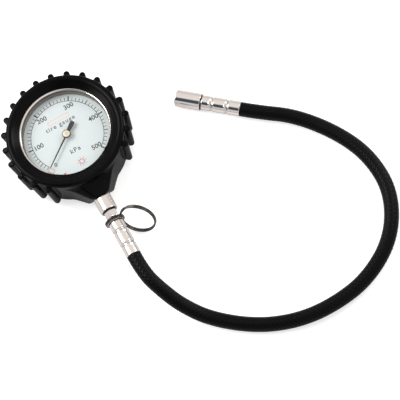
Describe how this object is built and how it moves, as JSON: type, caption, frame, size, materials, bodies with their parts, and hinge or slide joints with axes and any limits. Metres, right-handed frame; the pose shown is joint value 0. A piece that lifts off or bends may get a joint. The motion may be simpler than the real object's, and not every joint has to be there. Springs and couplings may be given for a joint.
{
  "type": "tire pressure gauge",
  "caption": "Round dial tyre gauge in a lugged rubber boot, with a plated stem, split key ring, braided hose and straight valve chuck.",
  "frame": {"origin": "centre of the boot's flat back face, on the dial's axis", "axes": "+Z out through the dial, +Y up the dial away from the stem, +X to the dial's right"},
  "size_m": [0.207, 0.2247, 0.0332],
  "materials": {
    "moulded_rubber": "satin",
    "black_steel": "satin",
    "chrome_bezel": "polished",
    "window": "clear",
    "grey_plastic": "matt",
    "dial_enamel": "satin",
    "brass": "machined",
    "zinc_steel": "plated",
    "spring_bronze": "drawn",
    "chrome_stem": "polished",
    "black_rubber": "matt",
    "chrome_ferrule": "polished",
    "braided_hose": "braided cover",
    "chrome_chuck": "polished",
    "pointer_black": "satin",
    "brass_hub": "polished",
    "nickel_wire": "plated"
  },
  "bodies": {
    "gauge": {"rubber_boot": "moulded_rubber", "case_shell": "black_steel", "bezel_ring": "chrome_bezel", "window_lens": "window", "spacer_ring": "grey_plastic", "dial_plate": "dial_enamel", "socket_block": "brass", "case_screws": "zinc_steel", "movement_back_plate": "brass", "movement_front_plate": "brass", "movement_pillars": "brass", "movement_screws": "zinc_steel", "hair_spring": "spring_bronze", "bourdon_tube": "spring_bronze", "neck_adaptor": "chrome_stem", "neck_washer": "black_rubber", "hose_nipple": "chrome_stem", "gauge_ferrule": "chrome_ferrule", "hose": "braided_hose", "chuck_ferrule": "chrome_ferrule", "chuck_nipple": "chrome_stem", "chuck_washer": "black_rubber", "chuck_body": "chrome_chuck", "chuck_seal": "black_rubber", "depressor_pin": "brass"},
    "pointer_shaft": {"pointer": "pointer_black", "pointer_hub": "brass_hub", "pinion_shaft": "zinc_steel"},
    "sector": {"sector_gear": "brass"},
    "tube_end": {"tube_tip": "brass"},
    "link_bar": {"link": "zinc_steel"},
    "collar": {"collar_ring": "nickel_wire"},
    "key_ring": {"split_ring": "nickel_wire"}
  },
  "joints": [
    {"name": "sector_turn", "type": "hinge", "parent": "gauge", "child": "sector", "pos_m": [0.0102, -0.01116, 0.012], "axis": [0, 0, 1], "range_deg": [0, 33.5], "stiffness_Nm_per_rad": 0.0002},
    {"name": "pointer_turn", "type": "hinge", "parent": "gauge", "child": "pointer_shaft", "pos_m": [0, 0, 0.025], "axis": [0, 0, -1], "range_deg": [0, 268]},
    {"name": "tube_tip_slide", "type": "slide", "parent": "gauge", "child": "tube_end", "axis": [-0.1219, 0.9925, 0], "range_m": [0, 0.0038], "deforming": ["bourdon_tube"]},
    {"name": "link_swing", "type": "hinge", "parent": "tube_end", "child": "link_bar", "pos_m": [0.0176, -0.00374, 0.0133], "axis": [0, 0, 1], "range_deg": [0, 3.4]},
    {"name": "collar_spin", "type": "hinge", "parent": "gauge", "child": "collar", "pos_m": [0, -0.0646, 0.017], "axis": [0, -1, 0], "continuous": true},
    {"name": "key_ring_swing", "type": "hinge", "parent": "collar", "child": "key_ring", "pos_m": [0.00313, -0.0646, 0.01177], "axis": [-0.8579, 0, -0.5138], "range_deg": [0, 45]}
  ],
  "couplings": [
    {"joint": "pointer_turn", "follows": "sector_turn", "ratio": 8},
    {"joint": "tube_tip_slide", "follows": "sector_turn", "m_per_rad": 0.0064},
    {"joint": "link_swing", "follows": "sector_turn", "ratio": 0.1}
  ]
}
